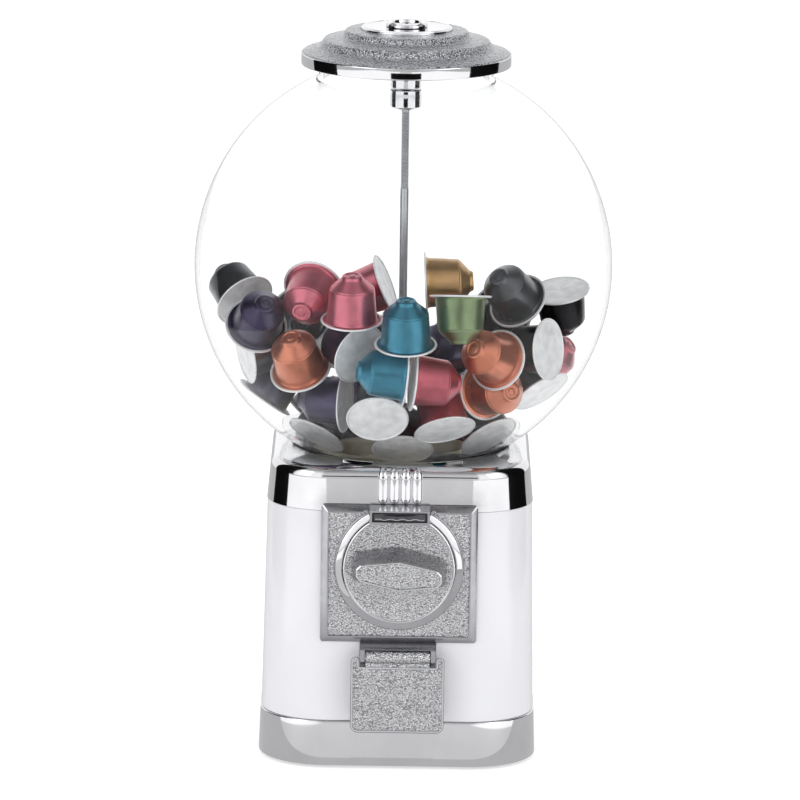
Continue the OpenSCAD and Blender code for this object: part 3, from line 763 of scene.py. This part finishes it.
def coin_plate():
    """A plate whose bevelled sides rise to a narrow crest round the grained field."""
    half, back, front = PLATE_HIGH.x, PLATE_HIGH.y, PLATE_LOW.y
    thick = back - front
    levels = [(0, back, 1.6), (0, back - 0.8, 1.6), (thick - 0.8, front + 0.05, 0.6),
              (thick - 0.6, front, 0.6), (thick - 0.2, front, 0.6), (thick, front + 0.1, 0.6),
              (thick + 0.3, front + 1.2, 0.5)]
    rows = []
    for inset, y, corner in levels:
        outline = rectangle(half - inset, PLATE_LOW.z + inset, PLATE_HIGH.z - inset, corner)
        rows.append([(x, y, z) for x, z in outline])

    def paint(p):
        return 1 if abs(p.x) < 1 and abs(p.z - KNOB_Z) < 20 and p.y < back - 1 else 0

    made = grid("coin_plate_casting", rows, ["satin_chrome", "grained_chrome"], paint, wrap=False,
                caps=True, sharp=25)
    cut(made, rod("tool_a", 5.1, along_front(0, back + 2, KNOB_Z), 10),
        box("tool_b", (-13, back - 10, 159), (13, back + 2, 161)))
    piece(made, "cabinet", "grained_chrome", "coin_plate")


RING_IN, RING_OUT = 33.8, 38.0
BAND_RISE = 0.75


def coin_ring():
    """The raised ring round the knob. It fades at its lower left into a low smooth band."""
    field = PLATE_LOW.y + 1.2
    front = low("coin_ring").y
    tall = field - front - 0.05

    def height(turn):
        if turn < 168:
            return tall
        s = min(1.0, (turn - 168) / 48)
        return BAND_RISE + (tall - BAND_RISE) * (1 - s * s * (3 - 2 * s))

    arcs = []
    for first, last in ((0.5, 61), (119, 212)):
        rows = []
        count = int((last - first) / 1.5)
        for k in range(count + 1):
            turn = first + (last - first) * k / count
            tip = height(turn)
            outer_tip = max(0.5, tip - 1.6)
            section = fillet([(RING_IN, 0, 0), (RING_OUT, 0, 0), (RING_OUT, outer_tip, 0.8),
                              (RING_IN + 0.15, tip, 0.7)],
                             0.5, 4)
            c, s = math.cos(math.radians(turn)), math.sin(math.radians(turn))
            rows.append([(r * c, field - rise, KNOB_Z + r * s) for r, rise in section])
        arcs.append(grid(f"coin_ring_arc_{len(arcs) + 1}", rows, ["chrome"], wrap=False, caps=True, sharp=40))
    for made in arcs:
        soften(made, 0.2, 2)
        piece(made, "cabinet", "chrome", "coin_ring")
    band = fillet([(RING_IN, 0, 0), (RING_OUT + 0.8, 0, 0), (RING_OUT + 0.4, BAND_RISE, 0.3),
                   (RING_IN, BAND_RISE, 0.3)], 0.3)
    rows = []
    for k in range(141):
        turn = math.radians(120.5 + 299 * k / 140)
        c, s = math.cos(turn), math.sin(turn)
        rows.append([(r * c, field - rise, KNOB_Z + r * s) for r, rise in band])
    made = grid("coin_ring_band", rows, ["satin_chrome"], wrap=False, caps=True)
    piece(made, "cabinet", "chrome", "coin_ring")


def lens(half, rise, z, steps=12):
    """A pointed oval in (x, z)."""
    upper = [(half * math.cos(math.pi * k / steps), z + rise * math.sin(math.pi * k / steps) ** 1.5)
             for k in range(steps + 1)]
    lower = [(x, 2 * z - height) for x, height in reversed(upper[1:-1])]
    return upper + lower


def slot_block():
    lowest, highest = low("slot_block"), high("slot_block")
    half = highest.x
    # The block's second material, and the pocket cutter's, is near-black painted shade.
    made = box("slot_block_casting", lowest, (half, -81.3, highest.z), ["satin_chrome", "painted_shade_black"])
    cut(made, rod("tool_a", RING_IN, along_front(0, -84, KNOB_Z), 8.2, segments=96),
        rod("tool_b", 29.8, along_front(0, -84, KNOB_Z), 20, segments=96))
    soften(made, 0.45)
    slit_z = highest.z - 2.4
    pocket = rectangle(half - 1.4, lowest.z + 1.6, highest.z - 1.0, 0.5)
    cut(made, slab("tool_c", pocket, lowest.y + 1.3, lowest.y - 1, ["painted_shade_black"]))
    soften(made, 0.12, 2, 50)
    piece(made, "cabinet", "chrome", "slot_block")

    inset = rectangle(half - 2.4, lowest.z + 2.2, highest.z - 1.5, 0.4)
    plate = slab("slot_plate", inset, lowest.y + 1.4, lowest.y + 0.75, ["dark_zinc"], [(0.25, -0.2)])
    cut(plate, slab("tool_d", lens(10, 0.95, slit_z), lowest.y + 3, lowest.y - 1, ["chrome"]))
    piece(plate, "cabinet", "chrome", "slot_block")

    # A near-black sheet behind the slit: painted shade where the slot runs dark into the machine.
    painted_shade_sheet = slab("slot_painted_shade_sheet", lens(9.8, 0.9, slit_z), lowest.y + 1.5, lowest.y + 1.3, ["painted_shade_black"])
    piece(painted_shade_sheet, "cabinet", "chrome", "slot_block")

    rows = []
    for k in range(61):
        x = (half - 3.4) * (2 * k / 60 - 1)
        z = lowest.z + 3.25 + 0.35 * math.sin(x * 0.85)
        rows.append([(x, lowest.y + 0.6 + 0.4 * math.cos(a), z + 0.4 * math.sin(a))
                     for a in (2 * math.pi * s / 12 for s in range(12))])
    wave = grid("slot_wave", rows, ["chrome"], wrap=False, caps=True, sharp=60)
    piece(wave, "cabinet", "chrome", "slot_block")

    for side in (-1, 1):
        outline = fillet([(0, 0, 0), (1.7, 0, 0), (1.7, 2.6, 0.6), (0.9, 2.6, 0.3), (0.6, 2.0, 0.2),
                          (0, 2.0, 0)], 0.3, closed=False)
        place = along_front(side * (half + 2.2), PLATE_LOW.y + 1.2, highest.z - 3.6)
        lug = lathe(f"slot_lug_{(side + 3) // 2}", outline, ["satin_chrome"], segments=40, closed=False,
                    place=place)
        piece(lug, "cabinet", "chrome", "slot_block")


GRIP_TILT = 4.0


def grip_outline(grow_x, grow_z):
    """The long hexagon of the grip, grown past its face's size."""
    half, middle, end = 25.5 + grow_x, 9.2 + grow_z, 5.0 + grow_z * 0.8
    clip = 2.4
    points = [(-half, -end + clip), (-half, end - clip), (-half + clip, end), (0, middle, 6),
              (half - clip, end), (half, end - clip), (half, -end + clip), (half - clip, -end),
              (0, -middle, 6), (-half + clip, -end)]
    return fillet(points, 1.0, 4)


def knob():
    back, face = high("knob").y, -91.0
    tip = low("knob").y
    radius = high("knob").x
    thick = back - face
    outline = fillet([(0, 0, 0), (radius - 0.3, 0, 0.4), (radius, 1.0, 0.4), (radius, 1.8, 0),
                      (radius, thick - 1.2, 0), (radius, thick - 0.3, 0.7), (radius - 0.9, thick, 0.5),
                      (radius - 1.3, thick - 0.35, 0.3), (0, thick - 0.35, 0)], 0.4, closed=False)

    def disc_paint(p):
        across = math.hypot(p.x, p.z - KNOB_Z)
        if across > radius - 0.5:
            return 1 if face + 0.8 < p.y < back - 1.6 else 0
        return 1 if across < radius - 1.4 and p.y < back - 3 else 0

    disc = lathe("knob_disc", outline, ["chrome", "grained_chrome"], disc_paint, segments=128, closed=False,
                 place=along_front(0, back, KNOB_Z))
    piece(disc, "knob", "grained_chrome", "knob")

    rows = []
    levels = [(3.0 * (1 - t) ** 2.6, 4.8 * (1 - t) ** 2.6, face + 0.4 + (tip + 0.9 - face - 0.4) * t)
              for t in (k / 12 for k in range(13))]
    levels += [(-0.25, -0.25, tip + 0.15), (-0.45, -0.45, tip), (-0.95, -0.95, tip),
               (-1.35, -1.35, tip + 0.8)]
    tilt = math.tan(math.radians(GRIP_TILT))
    for grow_x, grow_z, y in levels:
        rows.append([(x, y, KNOB_Z + z - x * tilt) for x, z in grip_outline(grow_x, grow_z)])

    def grip_paint(p):
        return 0 if p.y < tip + 0.75 else 1

    grip = grid("knob_grip", rows, ["chrome", "grained_chrome"], grip_paint, wrap=False, caps=True, sharp=28)
    piece(grip, "knob", "grained_chrome", "knob")


# ---------- chute ----------

HINGE_Y, HINGE_Z = -88.5, 70.3
BARREL_R, BARREL_HALF = 4.6, 19.3


def chute_flap():
    lowest = low("chute_flap")
    half = high("chute_flap").x
    top, notch = 71.1, high("chute_housing").x + 0.4
    step = top - 5.8
    points = [(-half, lowest.z, 4.5), (half, lowest.z, 4.5), (half, top, 2.2), (notch, top, 1.7),
              (notch, step, 0.5), (-notch, step, 0.5), (-notch, top, 1.7), (-half, top, 2.2)]
    outline = fillet(points, 0.5, 5)
    made = slab("chute_flap_plate", outline, -90.5, lowest.y, ["chrome", "grained_chrome"],
                [(0.001, 0.45), (0.45, 0.0), (0.7, 0.0), (0.4, 0.5)], field=1)
    piece(made, "flap", "grained_chrome", "chute_flap")

    ends = fillet([(1.56, -BARREL_HALF, 0.2), (BARREL_R, -BARREL_HALF, 0.6), (BARREL_R, BARREL_HALF, 0.6),
                   (1.56, BARREL_HALF, 0.2)], 0.4)
    barrel = lathe("chute_flap_barrel", ends, ["grained_chrome"], segments=64,
                   place=along_x(0, HINGE_Y, HINGE_Z))
    piece(barrel, "flap", "grained_chrome", "chute_flap")

    web = box("chute_flap_web", (-BARREL_HALF, -91.9, HINGE_Z - 6.3), (BARREL_HALF, -88.6, HINGE_Z - 1.8),
              ["grained_chrome"])
    soften(web, 0.4)
    piece(web, "flap", "grained_chrome", "chute_flap")


def chute_housing():
    half = high("chute_housing").x
    top = high("chute_housing").z
    hood = [(-79.1, top), (-84, top), (-90.4, top - 1.9), (-91.4, top - 2.9), (-91.4, 68), (-89.8, 65.8),
            (-89.8, 60), (-79.1, 60)]
    mesh = bmesh.new()
    face = mesh.faces.new([mesh.verts.new(Vector((-half, y, z)) * MM) for y, z in hood])
    grown = bmesh.ops.extrude_face_region(mesh, geom=[face])["geom"]
    bmesh.ops.translate(mesh, vec=Vector((2 * half, 0, 0)) * MM,
                        verts=[v for v in grown if isinstance(v, bmesh.types.BMVert)])
    made = make_object("chute_housing_casting", mesh, ["satin_chrome"])
    fuse(made, box("tool_a", (-half, -89.8, BASE_TOP - 1.4), (half, -79.1, 64)))
    cut(made, box("tool_b", (-20, -100, 29.5), (20, -60, 62.5)),
        box("tool_c", (-BARREL_HALF - 0.4, -100, 62.4), (BARREL_HALF + 0.4, -83.6, 75.1)))
    soften(made, 0.35)
    piece(made, "cabinet", "chrome", "chute_housing")


# ---------- capsules ----------

FLANGE_R = 18.5
CAPSULE_TIP = 29.0


def capsule_outline():
    """A coffee capsule in section, from the middle of its foil face to the middle of its tip."""
    face = [(0, 0.35, 0), (9, 0.28, 0), (16.2, 0.4, 0.5), (17.1, 0.55, 0.3)]
    rim = arc(FLANGE_R - 0.6, 0.6, 0.6, 200, 515, 12)
    body = [(17.1, 0.95, 0.2), (15.4, 1.15, 0.5), (14.85, 2.6, 0.3), (14.8, 3.6, 0.6), (13.35, 20.4, 0.6),
            (12.7, 21.0, 0.3), (12.55, 21.6, 0.5), (6.4, 26.9, 0.8), (5.7, 28.6, 0.5),
            (4.5, CAPSULE_TIP, 0.4), (3.9, 28.3, 0.3), (2.3, 28.3, 0.4), (1.7, 28.8, 0.4), (0, 28.8, 0)]
    return fillet(face, 0.3, closed=False) + rim + fillet(body, 0.4, closed=False)


def capsule_mesh(colour):
    """The capsule's mesh, on its own axis, in metres."""
    def paint(p):
        radius = math.hypot(p.x, p.y)
        if radius > FLANGE_R - 1.3 and p.z < 1.6:
            return 1
        return 2 if p.z < 0.6 else 0

    surfaces = ["capsule_" + colour, "rim_lacquer", "foil"]
    made = lathe(f"capsule_shape_{colour}", capsule_outline(), surfaces, paint, segments=56, closed=False,
                 sharp=40)
    data = made.data
    bpy.data.objects.remove(made)
    return data


def islands(node):
    """The separate solids of a CAD node, each as a list of (area, normal, centre) of its faces."""
    mesh = bmesh.new()
    mesh.from_mesh(NODES[node].data)
    bmesh.ops.remove_doubles(mesh, verts=mesh.verts, dist=1e-6)
    seen = set()
    for first in mesh.faces:
        if first.index in seen:
            continue
        seen.add(first.index)
        queue, found = [first], []
        while queue:
            face = queue.pop()
            found.append((face.calc_area(), face.normal.copy(), face.calc_center_median()))
            for edge in face.edges:
                for other in edge.link_faces:
                    if other.index not in seen:
                        seen.add(other.index)
                        queue.append(other)
        yield found
    mesh.free()


def capsule_place(faces):
    """A capsule's place, from its flat foil face, which is the largest flat area."""
    groups = []
    for face in faces:
        group = next((g for g in groups if g[0][1].dot(face[1]) > 0.9999), None)
        if group is None:
            groups.append([face])
        else:
            group.append(face)
    flat = max(groups, key=lambda g: sum(area for area, _, _ in g))
    total = sum(area for area, _, _ in flat)
    centre = sum((c * a for a, _, c in flat), Vector()) / total
    axis = -sum((n * a for a, n, _ in flat), Vector()).normalized()
    return Matrix.Translation(centre) @ Vector((0, 0, 1)).rotation_difference(axis).to_matrix().to_4x4()


def capsules():
    for colour in CAPSULE_COLOURS:
        node = "capsules_" + colour
        if node not in NODES:
            continue
        data = capsule_mesh(colour)
        for count, faces in enumerate(islands(node)):
            made = bpy.data.objects.new(f"capsule_{colour}_{count + 1}", data)
            bpy.context.scene.collection.objects.link(made)
            made.matrix_world = capsule_place(faces)
            piece(made, "cabinet", "capsule_" + colour, node)


# ---------- stage ----------

def stage_plane(name, lowest, highest, colour, glow=0.0, hidden=False, dim_reflection=None):
    """A flat card between two corners, in metres. A hidden one shows only in reflections, and
    reflections see one with dim_reflection at that brightness."""
    lowest, highest = Vector(lowest), Vector(highest)
    size = highest - lowest
    flat = min(range(3), key=lambda i: abs(size[i]))
    u, v = [Vector((0, 0, 0)) for _ in range(2)]
    axes = [i for i in range(3) if i != flat]
    u[axes[0]], v[axes[1]] = size[axes[0]], size[axes[1]]
    data = bpy.data.meshes.new(name)
    data.from_pydata([lowest, lowest + u, lowest + u + v, lowest + v], [], [(0, 1, 2, 3)])
    made = bpy.data.objects.new(name, data)
    bpy.context.scene.collection.objects.link(made)
    material = bpy.data.materials.new(name)
    material.use_nodes = True
    shader = material.node_tree.nodes["Principled BSDF"]
    shader.inputs["Base Color"].default_value = (colour, colour, colour, 1)
    shader.inputs["Roughness"].default_value = 0.6
    shader.inputs["Specular IOR Level"].default_value = 0.1
    shader.inputs["Emission Color"].default_value = (1, 1, 1, 1)
    shader.inputs["Emission Strength"].default_value = glow
    data.materials.append(material)
    if dim_reflection is not None:
        tree = material.node_tree
        path = tree.nodes.new("ShaderNodeLightPath")
        through = tree.nodes.new("ShaderNodeMath")
        through.operation = "SUBTRACT"
        through.use_clamp = True
        tree.links.new(path.outputs["Is Glossy Ray"], through.inputs[0])
        tree.links.new(path.outputs["Is Transmission Ray"], through.inputs[1])
        dim = tree.nodes.new("ShaderNodeEmission")
        dim.inputs["Strength"].default_value = dim_reflection
        mix = tree.nodes.new("ShaderNodeMixShader")
        tree.links.new(through.outputs[0], mix.inputs["Fac"])
        tree.links.new(shader.outputs["BSDF"], mix.inputs[1])
        tree.links.new(dim.outputs["Emission"], mix.inputs[2])
        tree.links.new(mix.outputs["Shader"], tree.nodes["Material Output"].inputs["Surface"])
    if hidden:
        made.visible_camera = made.visible_diffuse = made.visible_shadow = False
    return made


def softbox(name, place, aim, width, height, power):
    data = bpy.data.lights.new(name, "AREA")
    data.shape = "RECTANGLE"
    data.size, data.size_y, data.energy = width, height, power
    made = bpy.data.objects.new(name, data)
    made.location = place
    made.rotation_euler = (Vector(aim) - Vector(place)).to_track_quat("-Z", "Y").to_euler()
    made.visible_transmission = False
    bpy.context.scene.collection.objects.link(made)
    return made


def studio_world():
    """White all round, except that reflections see a brighter studio: a narrow grey front, white
    sides with a black flag at each, a white back, and a black ceiling."""
    world = bpy.data.worlds.new("studio")
    bpy.context.scene.world = world
    world.use_nodes = True
    tree = world.node_tree
    new, link = tree.nodes.new, tree.links.new
    parts = new("ShaderNodeSeparateXYZ")
    link(new("ShaderNodeTexCoord").outputs["Generated"], parts.inputs[0])
    front = new("ShaderNodeMath")
    front.operation = "MULTIPLY"
    front.inputs[1].default_value = -1
    link(parts.outputs["Y"], front.inputs[0])
    turn = new("ShaderNodeMath")
    turn.operation = "ARCTAN2"
    link(parts.outputs["X"], turn.inputs[0])
    link(front.outputs[0], turn.inputs[1])
    size = new("ShaderNodeMath")
    size.operation = "ABSOLUTE"
    link(turn.outputs[0], size.inputs[0])
    share = new("ShaderNodeMath")
    share.operation = "DIVIDE"
    share.inputs[1].default_value = math.pi
    link(size.outputs[0], share.inputs[0])
    around = ramp(tree, [(0.0, 0.58), (0.06, 0.62), (0.1, 1.0), (0.39, 1.0), (0.42, 0.01), (0.63, 0.01),
                         (0.68, 0.9), (1.0, 0.95)])
    link(share.outputs[0], around.inputs["Fac"])
    ceiling = ramp(tree, [(0.0, 1.0), (0.55, 1.0), (0.85, 0.45), (0.95, 0.06), (1.0, 0.04)])
    link(parts.outputs["Z"], ceiling.inputs["Fac"])
    both = new("ShaderNodeMix")
    both.data_type = "RGBA"
    both.blend_type = "MULTIPLY"
    both.inputs["Factor"].default_value = 1
    link(around.outputs["Color"], both.inputs[6])
    link(ceiling.outputs["Color"], both.inputs[7])
    pick = new("ShaderNodeMix")
    pick.data_type = "RGBA"
    pick.inputs[6].default_value = (1, 1, 1, 1)
    brighter = new("ShaderNodeVectorMath")
    brighter.operation = "SCALE"
    brighter.inputs["Scale"].default_value = REFLECTED_WORLD
    link(both.outputs[2], brighter.inputs[0])
    link(brighter.outputs[0], pick.inputs[7])
    link(new("ShaderNodeLightPath").outputs["Is Glossy Ray"], pick.inputs["Factor"])
    background = tree.nodes["Background"]
    link(pick.outputs[2], background.inputs["Color"])
    background.inputs["Strength"].default_value = WORLD_STRENGTH


def ramp(tree, stops):
    made = tree.nodes.new("ShaderNodeValToRGB")
    elements = made.color_ramp.elements
    while len(elements) < len(stops):
        elements.new(1.0)
    for element, (place, value) in zip(elements, stops):
        element.position = place
        element.color = (value, value, value, 1)
    return made


WORLD_STRENGTH = 0.62
REFLECTED_WORLD = 2.0


def stage():
    stage_plane("floor", (-8, -8, -0.0002), (8, 8, -0.0002), 0.86, glow=0.5, dim_reflection=0.6)
    stage_plane("card_front_grey", (-0.35, -3.4, 0.0005), (0.3, -0.1, 0.0005), 0.0, glow=0.75, hidden=True)
    stage_plane("card_front_left", (-2.4, -3.4, 0.0005), (-0.35, -0.1, 0.0005), 0.0, glow=1.3, hidden=True)
    stage_plane("card_front_right", (0.3, -3.4, 0.0005), (2.4, -0.1, 0.0005), 0.0, glow=1.3, hidden=True)
    stage_plane("card_front_black", (-0.17, -0.6, 0.24), (0.17, -0.6, 0.33), 0.0, hidden=True)
    stage_plane("card_left", (-0.62, -0.13, 0.0), (-0.62, 0.33, 0.9), 0.0, hidden=True)
    stage_plane("card_right", (0.62, -0.21, 0.0), (0.62, 0.33, 0.9), 0.0, hidden=True)
    lamps = [softbox("softbox_left", (-1.5, -1.3, 1.1), (0, 0, 0.22), 0.9, 1.5, 8),
             softbox("softbox_right", (1.5, -1.3, 1.1), (0, 0, 0.22), 0.9, 1.5, 7),
             softbox("softbox_top", (0, 0.4, 2.6), (0, 0, 0.2), 2.2, 1.6, 12)]
    unlit = bpy.data.collections.new("unlit_by_softboxes")
    unlit.objects.link(bpy.data.objects["globe_clear"])
    unlit.collection_objects[0].light_linking.link_state = "EXCLUDE"
    for lamp in lamps:
        lamp.light_linking.receiver_collection = unlit
    studio_world()


CAMERA_DISTANCE = 4.0
CAMERA_RISE = math.radians(12)
CAMERA_ROLL = math.radians(0.83)


def camera():
    aim = Vector((0, 0, 0.205))
    way = Vector((0, -math.cos(CAMERA_RISE), math.sin(CAMERA_RISE)))
    data = bpy.data.cameras.new("camera")
    data.sensor_width = 36
    data.lens = 297
    data.shift_x, data.shift_y = -0.0017, 0.0075
    data.clip_end = 100
    made = bpy.data.objects.new("camera", data)
    turn = (-way).to_track_quat("-Z", "Y").to_matrix().to_4x4()
    place = Matrix.Translation(aim + way * CAMERA_DISTANCE)
    made.matrix_world = place @ turn @ Matrix.Rotation(CAMERA_ROLL, 4, "Z")
    bpy.context.scene.collection.objects.link(made)
    bpy.context.scene.camera = made
    bpy.context.scene.view_settings.view_transform = "Standard"


camera()
base_ring()
body_shell()
top_collar()
collar_flutes()
globe()
lid()
lid_disc()
lock()
barrel_nut()
centre_rod()
coin_plate()
coin_ring()
slot_block()
knob()
chute_flap()
chute_housing()
capsules()
stage()
